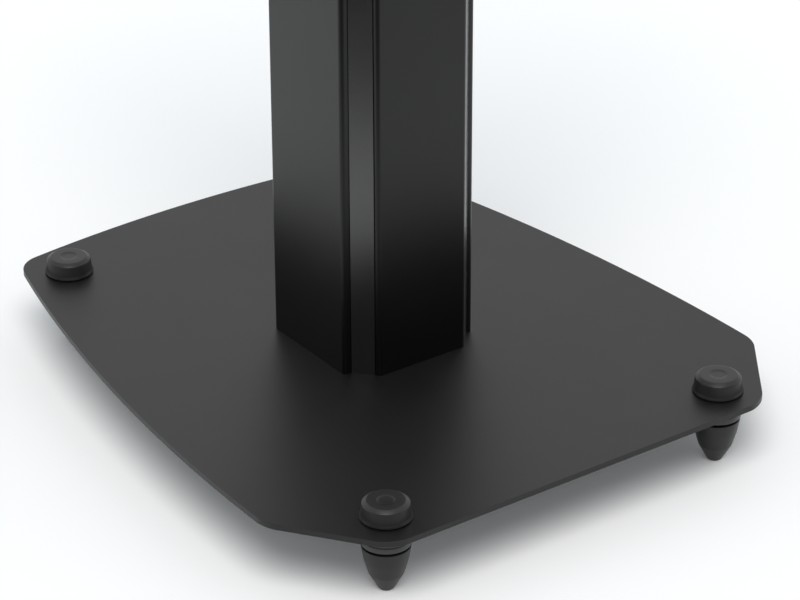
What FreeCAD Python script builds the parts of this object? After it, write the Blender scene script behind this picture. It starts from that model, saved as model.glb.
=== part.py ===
import FreeCAD, Part
import math
import os

V = FreeCAD.Vector

# A loudspeaker stand: a bowed sheet-steel base on four screw feet, an eight-sided column of an
# extruded core with four clipped-on face panels, and a small top plate that the speaker rests on.
# Sizes are in millimetres. +Z is up, the front faces -Y, and left is -X.
# The origin is on the floor, under the middle of the base plate.

# --- base plate: straight front, clipped front corners, bowed sides and bowed rear edge
base_width = 300.0
base_depth = 354.0
base_thickness = 3.0
base_clip_x = 37.5            # how much of the front edge each clipped corner takes
base_clip_y = 50.5            # how much of the side each clipped corner takes
base_side_radius = 1073.0
base_rear_radius = 715.0
base_widest_from_front = 58.0
base_front_corner_radius = 18.0
base_rear_corner_radius = 15.0
edge_ease = 0.4               # small chamfer round the rims of both plates

# --- top plate: the same family of outline, smaller and thicker
top_width = 180.0
top_depth = 212.4
top_thickness = 4.0
top_clip_x = 22.5
top_clip_y = 30.3
top_side_radius = 643.8
top_rear_radius = 429.0
top_widest_from_front = 34.8
top_front_corner_radius = 10.8
top_rear_corner_radius = 9.0
speaker_hole_spacing_x = 100.0
speaker_hole_spacing_y = 126.0
speaker_hole_radius = 3.3

# --- column
column_height = 564.0
column_width = 80.0           # across the two side panels
column_depth = 86.0           # across the front and rear panels
column_forward = 2.5          # the column stands this much ahead of the base plate's middle
side_corner_leg = 11.4        # from a side panel's edge to the corner of the column's square box
front_corner_leg = 12.8       # the same for the front and rear panels
strip_from_corner = 10.7      # from that square corner to the flat of a corner strip
shadow_gap = 0.35             # the dark line between a corner strip and the panel beside it
panel_thickness = 2.0
panel_edge_radius = 2.4
lip_depth = 7.0               # how far a panel's turned-in edge reaches from the panel's face
hook_reach = 1.0
hook_height = 1.6
clip_clearance = 0.3          # between a panel's lips or hooks and the core
core_wall = 2.6
cable_channel_width = 28.0
cable_channel_depth = 19.0

# --- cable outlets in the rear panel
outlet_width = 20.0
outlet_height = 32.0
outlet_corner_radius = 6.0
outlet_centre_from_plate = 36.0
grommet_wall = 2.0
grommet_flange = 2.5          # how far each flange reaches past the outlet's edge
grommet_outer_thickness = 1.5
grommet_inner_thickness = 1.2

# --- screws that hold the plates to the column
screw_radius = 3.0
screw_hole_clearance = 0.3
thread_clearance = 0.05
screw_port_radius = 6.0
screw_port_depth = 22.0
screw_engagement = 16.0
button_head_radius = 5.25
button_head_height = 3.3
button_head_rim = 1.0
button_head_crown_radius = 3.4
washer_radius = 6.0
washer_thickness = 1.6
countersunk_head_radius = 5.65
countersunk_head_height = 2.65
hex_key = 4.0                 # across the flats of every hexagon socket
hex_socket_depth = 2.0

# --- screw feet
foot_height = 35.9            # floor to the underside of the base plate, feet screwed home
front_foot_from_side = 48.9
front_foot_from_front = 21.6
rear_foot_from_side = 56.3
rear_foot_from_rear = 32.1
collar_radius = 12.4
collar_height = 10.2
collar_groove_width = 0.9
collar_groove_depth = 0.35
collar_groove_levels = (5.3, 7.0)     # below the plate's underside
neck_radius = 6.0             # the collar's threaded neck, up through the base plate
neck_rise = 5.0
neck_hole_clearance = 0.15
neck_thread_clearance = 0.05
nut_across_flats = 16.0
nut_height = 4.0
shank_radius = 4.0
shank_clearance = 0.06
shank_below_neck_top = 0.7
foot_gap = 0.3                # between pieces of a foot that move past each other
shank_socket_depth = 5.0

# --- rubber boot over each spike
boot_radius = 12.0
boot_mid_radius = 10.7
boot_waist_radius = 8.6
boot_waist_height = 9.2
boot_tip_radius = 3.5
boot_land_radius = 9.5        # raised ring on top of the boot, below the collar
boot_land_height = 1.1
boot_wall = 2.6
boot_floor = 2.4
boot_mouth_clearance = 0.6
spike_point_radius = 0.8

# --- rubber cap over each nut
cap_radius = 12.85
cap_lip_height = 1.2
cap_lip_undercut = 0.5        # how far the lip narrows down to the plate
cap_wall_foot_radius = 12.2
cap_shoulder_radius = 11.5
cap_top_radius = 9.3
cap_shoulder_height = 7.8
cap_height = 9.2
cap_dimple_radius = 4.5
cap_dimple_depth = 0.35
cap_dimple_bevel = 1.0
cap_roof = 3.4
cap_nut_clearance = 0.35

# --- pads on the top plate
pad_radius = 7.0
pad_height = 2.5
pad_edge = 0.5
front_pad_from_side = 28.0
rear_pad_from_side = 34.0
pad_from_edge = 18.0

# --- levels and places that follow from the sizes above
base_bottom = foot_height
base_top = base_bottom + base_thickness
column_top = base_top + column_height
top_plate_top = column_top + top_thickness
column_y = -column_forward

side_panel_half = column_depth / 2 - side_corner_leg
front_panel_half = column_width / 2 - front_corner_leg
strip_sum = column_width / 2 + column_depth / 2 - strip_from_corner * math.sqrt(2)

chamber_half_x = column_width / 2 - lip_depth - clip_clearance - core_wall
chamber_half_y = column_depth / 2 - lip_depth - clip_clearance - core_wall
port_x = chamber_half_x - screw_port_radius / 2
port_y = chamber_half_y - screw_port_radius / 2
port_places = [(sx * port_x, column_y + sy * port_y) for sx in (-1, 1) for sy in (-1, 1)]

front_foot_x = base_width / 2 - front_foot_from_side
front_foot_y = -base_depth / 2 + front_foot_from_front
rear_foot_x = base_width / 2 - rear_foot_from_side
rear_foot_y = base_depth / 2 - rear_foot_from_rear
foot_places = {
    "front_left": (-front_foot_x, front_foot_y),
    "front_right": (front_foot_x, front_foot_y),
    "rear_left": (-rear_foot_x, rear_foot_y),
    "rear_right": (rear_foot_x, rear_foot_y),
}

front_pad_x = top_width / 2 - front_pad_from_side
rear_pad_x = top_width / 2 - rear_pad_from_side
pad_y = top_depth / 2 - pad_from_edge
pad_places = {
    "front_left": (-front_pad_x, column_y - pad_y),
    "front_right": (front_pad_x, column_y - pad_y),
    "rear_left": (-rear_pad_x, column_y + pad_y),
    "rear_right": (rear_pad_x, column_y + pad_y),
}

outlet_levels = {
    "lower_grommet": base_top + outlet_centre_from_plate,
    "upper_grommet": column_top - outlet_centre_from_plate,
}


# --- shapes used by more than one piece
def block(x0, x1, y0, y1, z0, z1):
    """A box between two corners."""
    return Part.makeBox(x1 - x0, y1 - y0, z1 - z0, V(x0, y0, z0))


def rod(place, radius, z0, z1):
    """An upright cylinder at a place on the floor plan."""
    return Part.makeCylinder(radius, z1 - z0, V(place[0], place[1], z0))


def hexagon(place, across_flats, z0, z1):
    """An upright six-sided prism."""
    corner_radius = across_flats / math.sqrt(3)
    corners = [
        V(place[0] + corner_radius * math.cos(math.radians(60 * k)),
          place[1] + corner_radius * math.sin(math.radians(60 * k)), z0)
        for k in range(7)
    ]
    return Part.Face(Part.makePolygon(corners)).extrude(V(0, 0, z1 - z0))


def turned(outline, place):
    """A solid turned about an upright axis from a closed outline of (radius, height) points."""
    corners = [V(radius, 0, height) for radius, height in outline]
    solid = Part.Face(Part.makePolygon(corners)).revolve(V(0, 0, 0), V(0, 0, 1), 360)
    solid.translate(V(place[0], place[1], 0))
    return solid


def upright_edges(solid, at_x=None, at_y=None):
    """The vertical straight edges of a solid, all of them or those on one plane."""
    chosen = []
    for edge in solid.Edges:
        box = edge.BoundBox
        if box.XLength > 1e-6 or box.YLength > 1e-6:
            continue
        if at_x is not None and abs(abs(box.XMin) - at_x) > 1e-6:
            continue
        if at_y is not None and abs(box.YMin - at_y) > 1e-6:
            continue
        chosen.append(edge)
    return chosen


def edges_at_level(solid, level):
    """The edges of a solid that lie in one level plane."""
    flat = []
    for edge in solid.Edges:
        box = edge.BoundBox
        if box.ZLength < 1e-6 and abs(box.ZMin - level) < 1e-6:
            flat.append(edge)
    return flat


def rounded_slot(half_width, half_height, radius, y0, y1, level):
    """A rounded rectangular prism lying along Y, centred on X = 0 at a level."""
    shape = block(-half_width, half_width, y0, y1, level - half_height, level + half_height)
    long_edges = [edge for edge in shape.Edges if edge.BoundBox.YLength > 1e-6]
    return shape.makeFillet(radius, long_edges)


def in_four_corners(solid, mirror_y):
    """A solid and its mirror images about X = 0 and about a plane of constant Y."""
    across = solid.mirror(V(0, 0, 0), V(1, 0, 0))
    pair = [solid, across]
    return pair + [piece.mirror(V(0, mirror_y, 0), V(0, 1, 0)) for piece in pair]


# --- plates
def side_and_rear_meet(width, depth, side_radius, rear_radius, widest_y):
    """The point where the bowed side and the bowed rear edge would meet, on the +X side."""
    side_centre = V(width / 2 - side_radius, widest_y, 0)
    rear_centre = V(0, depth / 2 - rear_radius, 0)
    between = rear_centre - side_centre
    gap = between.Length
    along = (gap ** 2 + side_radius ** 2 - rear_radius ** 2) / (2 * gap)
    aside = math.sqrt(side_radius ** 2 - along ** 2)
    way = between / gap
    foot_point = side_centre + way * along
    first = foot_point + V(-way.y, way.x, 0) * aside
    second = foot_point - V(-way.y, way.x, 0) * aside
    return first if first.y > second.y else second


def bowed_plate(width, depth, thickness, bottom, clip, side_radius, rear_radius,
                widest_from_front, front_corner_radius, rear_corner_radius):
    """A flat plate centred on the origin's axis, with rounded corners and eased rims."""
    front_y = -depth / 2
    widest_y = front_y + widest_from_front
    side_centre_x = width / 2 - side_radius

    def side_x(y):
        return side_centre_x + math.sqrt(side_radius ** 2 - (y - widest_y) ** 2)

    clip_end_y = front_y + clip[1]
    front_end = V(width / 2 - clip[0], front_y, bottom)
    clip_end = V(side_x(clip_end_y), clip_end_y, bottom)
    rear_end = side_and_rear_meet(width, depth, side_radius, rear_radius, widest_y)
    rear_end.z = bottom
    side_middle_y = (clip_end.y + rear_end.y) / 2
    side_middle = V(side_x(side_middle_y), side_middle_y, bottom)

    def other_side(point):
        return V(-point.x, point.y, point.z)

    edges = [
        Part.makeLine(other_side(front_end), front_end),
        Part.makeLine(front_end, clip_end),
        Part.Arc(clip_end, side_middle, rear_end).toShape(),
        Part.Arc(rear_end, V(0, depth / 2, bottom), other_side(rear_end)).toShape(),
        Part.Arc(other_side(rear_end), other_side(side_middle), other_side(clip_end)).toShape(),
        Part.makeLine(other_side(clip_end), other_side(front_end)),
    ]
    plate = Part.Face(Part.Wire(edges)).extrude(V(0, 0, thickness))
    rear_corners = upright_edges(plate, at_x=rear_end.x)
    plate = plate.makeFillet(rear_corner_radius, rear_corners)
    front_corners = upright_edges(plate, at_x=front_end.x) + upright_edges(plate, at_x=clip_end.x)
    plate = plate.makeFillet(front_corner_radius, front_corners)
    rims = edges_at_level(plate, bottom) + edges_at_level(plate, bottom + thickness)
    return plate.makeChamfer(edge_ease, rims)


def make_base_plate():
    plate = bowed_plate(base_width, base_depth, base_thickness, base_bottom,
                        (base_clip_x, base_clip_y), base_side_radius, base_rear_radius,
                        base_widest_from_front, base_front_corner_radius,
                        base_rear_corner_radius)
    for place in foot_places.values():
        plate = plate.cut(rod(place, neck_radius + neck_hole_clearance, base_bottom, base_top))
    for place in port_places:
        plate = plate.cut(rod(place, screw_radius + screw_hole_clearance, base_bottom, base_top))
    return plate


def countersink(place, clearance):
    """The conical seat of a countersunk head, opening at the top plate's upper face."""
    wide = countersunk_head_radius + clearance
    narrow = screw_radius + clearance
    bottom = V(place[0], place[1], top_plate_top - countersunk_head_height)
    return Part.makeCone(narrow, wide, countersunk_head_height, bottom, V(0, 0, 1))


def make_top_plate():
    plate = bowed_plate(top_width, top_depth, top_thickness, column_top,
                        (top_clip_x, top_clip_y), top_side_radius, top_rear_radius,
                        top_widest_from_front, top_front_corner_radius,
                        top_rear_corner_radius)
    plate.translate(V(0, column_y, 0))
    for place in port_places:
        plate = plate.cut(rod(place, screw_radius + screw_hole_clearance,
                              column_top, top_plate_top))
        plate = plate.cut(countersink(place, screw_hole_clearance))
    for sx in (-1, 1):
        for sy in (-1, 1):
            hole_place = (sx * speaker_hole_spacing_x / 2,
                          column_y + sy * speaker_hole_spacing_y / 2)
            plate = plate.cut(rod(hole_place, speaker_hole_radius, column_top, top_plate_top))
    return plate


# --- column
def lip_slot(half_span, half_across):
    """The slot in the core for the lip on the +X, +Y edge of a panel that faces +X.

    half_span is half the panel's width and half_across is half the column across that panel.
    """
    inner = half_span - panel_thickness - clip_clearance
    floor = half_across - lip_depth - clip_clearance
    slot = block(floor, half_across, inner, half_span + shadow_gap, base_top, column_top)
    pocket = block(floor, floor + hook_height + 2 * clip_clearance,
                   inner - hook_reach, half_span, base_top, column_top)
    return slot.fuse(pocket)


def turned_to_y(solid):
    """A solid drawn for a panel that faces +X, carried over to the panel that faces +Y."""
    return solid.mirror(V(0, 0, 0), V(1, -1, 0))


def make_column_core():
    """The extruded core: corner strips, panel seats, lip slots, chambers and a cable channel."""
    seat_x = column_width / 2 - panel_thickness
    seat_y = column_depth / 2 - panel_thickness
    quarter = [V(seat_x, strip_sum - seat_x, base_top), V(strip_sum - seat_y, seat_y, base_top)]
    outline = []
    for point in quarter:
        outline.append(point)
    for point in reversed(quarter):
        outline.append(V(-point.x, point.y, point.z))
    for point in quarter:
        outline.append(V(-point.x, -point.y, point.z))
    for point in reversed(quarter):
        outline.append(V(point.x, -point.y, point.z))
    outline.append(outline[0])
    core = Part.Face(Part.makePolygon(outline)).extrude(V(0, 0, column_height))

    side_slot = lip_slot(side_panel_half, column_width / 2)
    front_slot = turned_to_y(lip_slot(front_panel_half, column_depth / 2))
    for slot in in_four_corners(side_slot, 0) + in_four_corners(front_slot, 0):
        core = core.cut(slot)

    channel_half = cable_channel_width / 2
    channel_floor = seat_y - cable_channel_depth
    chamber = block(-chamber_half_x, chamber_half_x, -chamber_half_y, chamber_half_y,
                    base_top, column_top)
    web = block(-chamber_half_x, chamber_half_x, -core_wall / 2, core_wall / 2,
                base_top, column_top)
    channel_walls = block(-channel_half - core_wall, channel_half + core_wall,
                          channel_floor - core_wall, seat_y, base_top, column_top)
    chamber = chamber.cut(web).cut(channel_walls)
    for place in port_places:
        local = (place[0], place[1] - column_y)
        chamber = chamber.cut(rod(local, screw_port_radius, base_top, column_top))
    core = core.cut(chamber)
    core = core.cut(block(-channel_half, channel_half, channel_floor, seat_y,
                          base_top, column_top))
    for place in port_places:
        local = (place[0], place[1] - column_y)
        hole_radius = screw_radius + thread_clearance
        core = core.cut(rod(local, hole_radius, base_top, base_top + screw_port_depth))
        core = core.cut(rod(local, hole_radius, column_top - screw_port_depth, column_top))
    core.translate(V(0, column_y, 0))
    return core


def face_panel(half_span, half_across):
    """A panel that faces +X: a flat face with rounded edges, turned-in lips and hooks."""
    back = half_across - lip_depth
    shell = block(back, half_across, -half_span, half_span, base_top, column_top)
    shell = shell.makeFillet(panel_edge_radius, upright_edges(shell, at_x=half_across))
    inner_face = half_across - panel_thickness
    inner_half = half_span - panel_thickness
    shell = shell.cut(block(back, inner_face, -inner_half, inner_half, base_top, column_top))
    for sy in (-1, 1):
        edge_y = sy * inner_half
        tip_y = edge_y - sy * hook_reach
        hook = block(back, back + hook_height, min(edge_y, tip_y), max(edge_y, tip_y),
                     base_top, column_top)
        shell = shell.fuse(hook)
    return shell.removeSplitter()


def make_panels():
    side = face_panel(side_panel_half, column_width / 2)
    front = turned_to_y(face_panel(front_panel_half, column_depth / 2))
    panels = {
        "right_panel": side,
        "left_panel": side.mirror(V(0, 0, 0), V(1, 0, 0)),
        "rear_panel": front,
        "front_panel": front.mirror(V(0, 0, 0), V(0, 1, 0)),
    }
    for panel in panels.values():
        panel.translate(V(0, column_y, 0))
    rear_face = column_y + column_depth / 2
    for level in outlet_levels.values():
        outlet = rounded_slot(outlet_width / 2, outlet_height / 2, outlet_corner_radius,
                              rear_face - panel_thickness, rear_face, level)
        panels["rear_panel"] = panels["rear_panel"].cut(outlet)
    return panels


def make_grommet(level):
    """A rubber grommet that lines a cable outlet: neck, outer flange and inner flange."""
    outer_face = column_y + column_depth / 2
    inner_face = outer_face - panel_thickness
    half_width = outlet_width / 2
    half_height = outlet_height / 2

    def ring(grow, y0, y1):
        return rounded_slot(half_width + grow, half_height + grow, outlet_corner_radius + grow,
                            y0, y1, level)

    body = ring(0, inner_face, outer_face)
    body = body.fuse(ring(grommet_flange, outer_face, outer_face + grommet_outer_thickness))
    body = body.fuse(ring(grommet_flange, inner_face - grommet_inner_thickness, inner_face))
    way = ring(-grommet_wall, inner_face - grommet_inner_thickness,
               outer_face + grommet_outer_thickness)
    return body.cut(way)


# --- screws and washers
def make_base_screw(place):
    """A button-head screw, driven up through the base plate into a port of the core."""
    seat = base_bottom - washer_thickness
    head_bottom = seat - button_head_height
    head = turned([(0, head_bottom), (button_head_crown_radius, head_bottom),
                   (button_head_radius, seat - button_head_rim), (button_head_radius, seat),
                   (0, seat), (0, head_bottom)], place)
    shank = rod(place, screw_radius, seat, base_top + screw_engagement)
    socket = hexagon(place, hex_key, head_bottom, head_bottom + hex_socket_depth)
    return head.fuse(shank).cut(socket)


def make_washer(place):
    bottom = base_bottom - washer_thickness
    washer = rod(place, washer_radius, bottom, base_bottom)
    return washer.cut(rod(place, screw_radius + screw_hole_clearance, bottom, base_bottom))


def make_top_screw(place):
    """A countersunk screw, flush with the top plate."""
    head = countersink(place, 0)
    shank = rod(place, screw_radius, column_top - screw_engagement,
                top_plate_top - countersunk_head_height)
    socket = hexagon(place, hex_key, top_plate_top - hex_socket_depth, top_plate_top)
    return head.fuse(shank).cut(socket)


# --- feet
def make_collar(place):
    """A threaded steel bush: a grooved collar below the base plate and a neck up through it."""
    bottom = base_bottom - collar_height
    neck_top = base_top + neck_rise
    outline = [(shank_radius + shank_clearance, bottom), (collar_radius, bottom)]
    for depth_below in sorted(collar_groove_levels, reverse=True):
        middle = base_bottom - depth_below
        outline += [(collar_radius, middle - collar_groove_width / 2),
                    (collar_radius - collar_groove_depth, middle),
                    (collar_radius, middle + collar_groove_width / 2)]
    outline += [(collar_radius, base_bottom), (neck_radius, base_bottom),
                (neck_radius, neck_top), (shank_radius + shank_clearance, neck_top),
                (shank_radius + shank_clearance, bottom)]
    return turned(outline, place)


def make_nut(place):
    """A thin hexagon nut that clamps the collar's neck to the base plate."""
    nut = hexagon(place, nut_across_flats, base_top, base_top + nut_height)
    return nut.cut(rod(place, neck_radius + neck_thread_clearance, base_top,
                       base_top + nut_height))


collar_bottom = base_bottom - collar_height
boot_land_top = collar_bottom - foot_gap
boot_top = boot_land_top - boot_land_height
spike_shoulder = boot_top - boot_wall / 2 - foot_gap
spike_shoulder_radius = boot_radius - boot_wall - foot_gap
spike_point = boot_floor + foot_gap


def spike_outline(grow):
    """The spike's cone as (radius, height) points, grown outwards by a clearance."""
    return [
        (0, spike_point - grow),
        (spike_point_radius + grow, spike_point - grow),
        (spike_shoulder_radius + grow, spike_shoulder),
    ]


def make_spike(place):
    """A steel spike: threaded shank with a hexagon socket, a shoulder and a cone."""
    shank_top = base_top + neck_rise - shank_below_neck_top
    outline = spike_outline(0)
    outline += [(shank_radius, spike_shoulder), (shank_radius, shank_top), (0, shank_top),
                (0, spike_point)]
    spike = turned(outline, place)
    return spike.cut(hexagon(place, hex_key, shank_top - shank_socket_depth, shank_top))


def make_boot(place):
    """A rubber boot over the spike: swelling upper cone, lower cone and a blunt tip."""
    skin = turned([
        (0, 0),
        (boot_tip_radius, 0),
        (boot_waist_radius, boot_waist_height),
        (boot_mid_radius, (boot_top + boot_waist_height) / 2),
        (boot_radius, boot_top),
        (boot_land_radius, boot_top),
        (boot_land_radius, boot_land_top),
        (0, boot_land_top),
        (0, 0),
    ], place)
    hollow_outline = spike_outline(foot_gap)
    hollow_outline[-1] = (hollow_outline[-1][0], spike_shoulder + foot_gap)
    hollow_outline += [(0, spike_shoulder + foot_gap), (0, spike_point - foot_gap)]
    hollow = turned(hollow_outline, place)
    mouth = rod(place, shank_radius + boot_mouth_clearance, spike_shoulder, boot_land_top)
    return skin.cut(hollow).cut(mouth)


def make_cap(place):
    """A rubber cap over the nut: flared lip, tapered wall, soft shoulder and a dished top."""
    top_level = base_top + cap_height
    cavity_radius = nut_across_flats / math.sqrt(3) + cap_nut_clearance
    roof = top_level - cap_roof
    dimple_level = top_level - cap_dimple_depth
    return turned([
        (cavity_radius, base_top),
        (cap_radius - cap_lip_undercut, base_top),
        (cap_radius, base_top + cap_lip_height / 2),
        (cap_wall_foot_radius, base_top + cap_lip_height),
        (cap_shoulder_radius, base_top + cap_shoulder_height),
        (cap_top_radius, top_level),
        (cap_dimple_radius, top_level),
        (cap_dimple_radius - cap_dimple_bevel, dimple_level),
        (0, dimple_level),
        (0, roof),
        (cavity_radius, roof),
        (cavity_radius, base_top),
    ], place)


def make_pad(place):
    """A low rubber pad on the top plate."""
    top_level = top_plate_top + pad_height
    return turned([
        (0, top_plate_top),
        (pad_radius, top_plate_top),
        (pad_radius, top_level - pad_edge),
        (pad_radius - pad_edge, top_level),
        (0, top_level),
        (0, top_plate_top),
    ], place)


# --- assembly
def make_pieces():
    pieces = {
        "base_plate": make_base_plate(),
        "top_plate": make_top_plate(),
        "column_core": make_column_core(),
        "base_screws": Part.makeCompound([make_base_screw(p) for p in port_places]),
        "base_washers": Part.makeCompound([make_washer(p) for p in port_places]),
        "top_screws": Part.makeCompound([make_top_screw(p) for p in port_places]),
        "foot_nuts": Part.makeCompound([make_nut(p) for p in foot_places.values()]),
    }
    pieces.update(make_panels())
    for name, level in outlet_levels.items():
        pieces[name] = make_grommet(level)
    for corner, place in foot_places.items():
        pieces["foot_collar_" + corner] = make_collar(place)
        pieces["foot_spike_" + corner] = make_spike(place)
        pieces["foot_boot_" + corner] = make_boot(place)
        pieces["foot_cap_" + corner] = make_cap(place)
    for corner, place in pad_places.items():
        pieces["top_pad_" + corner] = make_pad(place)
    return pieces


os.makedirs("parts", exist_ok=True)
for node, shape in make_pieces().items():
    box = shape.BoundBox
    print(node, "solids", len(shape.Solids), "valid", shape.isValid(),
          "volume", round(shape.Volume), "z", round(box.ZMin, 2), round(box.ZMax, 2))
    shape.exportStep("parts/" + node + ".step")
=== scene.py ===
import math
from functools import partial

import bmesh
import bpy
from bpy.props import FloatProperty, FloatVectorProperty, IntProperty, PointerProperty
from bpy.types import Operator, Panel, PropertyGroup
from mathutils import Matrix, Vector
from mathutils.geometry import intersect_sphere_sphere_2d


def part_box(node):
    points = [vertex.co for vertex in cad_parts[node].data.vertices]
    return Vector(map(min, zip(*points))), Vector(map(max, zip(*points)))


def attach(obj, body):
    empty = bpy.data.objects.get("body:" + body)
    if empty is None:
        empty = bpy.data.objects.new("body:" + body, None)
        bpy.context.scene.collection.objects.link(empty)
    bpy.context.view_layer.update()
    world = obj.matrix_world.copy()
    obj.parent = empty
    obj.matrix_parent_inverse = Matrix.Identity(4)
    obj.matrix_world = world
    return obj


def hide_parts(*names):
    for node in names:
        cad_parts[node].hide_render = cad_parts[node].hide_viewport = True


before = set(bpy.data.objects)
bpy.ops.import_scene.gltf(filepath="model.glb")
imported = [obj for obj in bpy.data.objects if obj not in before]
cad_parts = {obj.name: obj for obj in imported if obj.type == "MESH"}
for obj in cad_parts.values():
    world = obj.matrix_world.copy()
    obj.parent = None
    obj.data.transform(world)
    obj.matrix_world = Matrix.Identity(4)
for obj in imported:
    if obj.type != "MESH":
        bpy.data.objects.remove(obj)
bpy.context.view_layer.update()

bl_info = {
    "name": "Loudspeaker Stand",
    "version": (1, 0, 0),
    "blender": (4, 5, 0),
    "location": "View3D > Sidebar > Speaker Stand",
    "description": "Builds the finished pieces, finishes and studio for a loudspeaker stand",
    "category": "Add Mesh",
}

CORNERS = ("front_left", "front_right", "rear_left", "rear_right")
GROMMETS = ("lower_grommet", "upper_grommet")
FINISH_OF_SLOT = {
    "plate_coat": "satin_plate_coat",
    "panel_coat": "smooth_panel_coat",
    "rubber": "moulded_rubber",
    "collar_steel": "blackened_collar_steel",
    "spike_steel": "zinc_spike_steel",
    "screw_steel": "black_oxide_steel",
}
ORIGIN = Vector((0.0, 0.0, 0.0))
UP = Vector((0.0, 0.0, 1.0))
MERGE = 1e-6                    # vertices nearer than this are the same one
TENTH = 0.0001                  # a tenth of a millimetre, the unit of roundings in outlines
TINY_EDGE = 0.00015             # rounding on thin metal ends
SHARP = math.radians(42)        # edges that turn by more than this are shaded sharp
SIDE_STEPS, REAR_STEPS = 20, 9  # edges along a plate's bowed side and half its rear
HOLE_STEPS = 32
SCREW_STEPS = 48
RIM_TURN = 1.0                  # edges of a plate that turn by more than this are rims
NUT_FACE = 0.94                 # round face of a nut as a share of its flats
NUT_CHAMFER = math.radians(30)
KEY_MOUTH = 0.56                # radius that becomes a hexagon, as a share of its flats
THREAD_DEPTH = 0.55             # as a share of the pitch
# one turn of thread: whether a point is on the crest, and its share of the pitch
THREAD = ((0, -1.0), (0, -0.86), (1, -0.56), (1, -0.44), (0, -0.14), (0, 0.0))
TURNING_LINES, FINE_TURNING_LINES = 5200.0, 6500.0  # scale of the rings from turning
DRIFT_ENDS = (0.3, 0.7)         # where slow unevenness reaches its two shades
DUST_COLOUR = (0.42, 0.41, 0.39, 1.0)
UNLIT_FLOOR = (0.05, 0.05, 0.05, 1.0)
WHITE = (1.0, 1.0, 1.0, 1.0)


def middle_of(node):
    """The middle of a CAD node's floor plan, at floor level."""
    low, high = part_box(node)
    return Vector(((low[0] + high[0]) / 2, (low[1] + high[1]) / 2, 0.0))


def level_of(node, end):
    """The lowest (end 0) or highest (end 1) level of a CAD node."""
    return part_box(node)[end][2]


def middle_level(node):
    return (level_of(node, 0) + level_of(node, 1)) / 2


BASE_BOTTOM = level_of("base_washers", 1)
BASE_TOP = level_of("column_core", 0)
COLUMN_TOP = level_of("column_core", 1)
TOP_PLATE_TOP = level_of("top_pad_front_left", 0)
COLUMN_MIDDLE = middle_of("column_core")
COLUMN_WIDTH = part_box("right_panel")[1][0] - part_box("left_panel")[0][0]
COLUMN_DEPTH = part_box("rear_panel")[1][1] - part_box("front_panel")[0][1]


# --- sizes and colours that a user would change

def length(text, default):
    return lambda name: FloatProperty(name=name, description=text, default=default, min=0.0,
                                      unit="LENGTH", precision=5)


def position(text, default):
    return lambda name: FloatVectorProperty(name=name, description=text, default=default, size=3,
                                            subtype="TRANSLATION", unit="LENGTH")


def angle(text, degrees):
    return lambda name: FloatProperty(name=name, description=text,
                                      default=math.radians(degrees), unit="ROTATION")


def tone(text, default):
    return lambda name: FloatVectorProperty(name=name, description=text, default=default, size=3,
                                            subtype="COLOR", min=0.0, max=1.0)


def amount(text, default, highest=1.0):
    return lambda name: FloatProperty(name=name, description=text, default=default, min=0.0, max=highest)


def count(text, default, lowest, highest):
    return lambda name: IntProperty(name=name, description=text, default=default, min=lowest, max=highest)


def named(settings):
    """Makes a class's properties, each named after its attribute."""
    for key, make in settings.__annotations__.items():
        settings.__annotations__[key] = make(key.replace("_", " ").title())
    return settings


@named
class StandPlateSizes(PropertyGroup):
    width: length("Base plate at its widest point", 0.300)
    depth: length("Base plate from front to rear", 0.354)
    clip_x: length("Front edge that a clipped corner takes", 0.0375)
    clip_y: length("Side that a clipped corner takes", 0.0505)
    side_radius: length("Radius of the bowed sides", 1.073)
    rear_radius: length("Radius of the bowed rear edge", 0.715)
    widest_from_front: length("Widest point, from the front edge", 0.058)
    front_corner: length("Radius of the four front corners", 0.018)
    rear_corner: length("Radius of the two rear corners", 0.015)
    ease: length("Rounding of the plates' rims", 0.0004)
    top_share: amount("Top plate as a share of the base plate", 0.6)
    speaker_hole: length("Radius of the loudspeaker's holes", 0.0033)
    speaker_across: length("Spacing of those holes, side to side", 0.100)
    speaker_back: length("Spacing of those holes, front to back", 0.126)


@named
class StandColumnSizes(PropertyGroup):
    side_leg: length("Side panel's edge to the column's corner", 0.0114)
    front_leg: length("Front panel's edge to the column's corner", 0.0128)
    panel: length("Thickness of the face panels", 0.002)
    round: length("Radius of the panels' long edges", 0.0024)
    lip: length("Reach of a panel's turned-in edge", 0.007)
    hook: length("Reach of the hook on a lip", 0.001)
    hook_height: length("Height of the hook on a lip", 0.0016)
    outlet_width: length("Width of a cable outlet", 0.020)
    outlet_height: length("Height of a cable outlet", 0.032)
    outlet_round: length("Corner radius of a cable outlet", 0.006)
    grommet_wall: length("Thickness of a grommet's neck", 0.002)
    grommet_flange: length("Reach of a grommet's flanges", 0.0025)
    grommet_face: length("Thickness of the outer flange", 0.0015)
    grommet_back: length("Thickness of the inner flange", 0.0012)


@named
class StandScrewSizes(PropertyGroup):
    shank: length("Radius of the plate screws", 0.003)
    hole: length("Radius of the screws' holes", 0.0033)
    head: length("Radius of the button heads", 0.00525)
    head_height: length("Height of the button heads", 0.0033)
    crown: length("Radius of the flat on a button head", 0.0034)
    rim: length("Height of a button head's straight rim", 0.0010)
    washer: length("Radius of the washers", 0.006)
    washer_height: length("Thickness of the washers", 0.0016)
    sunk_head: length("Radius of the countersunk heads", 0.00565)
    sunk_depth: length("Depth of the countersunk heads", 0.00265)
    key: length("Width of the sockets across their flats", 0.004)
    key_depth: length("Depth of the sockets", 0.002)


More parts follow.
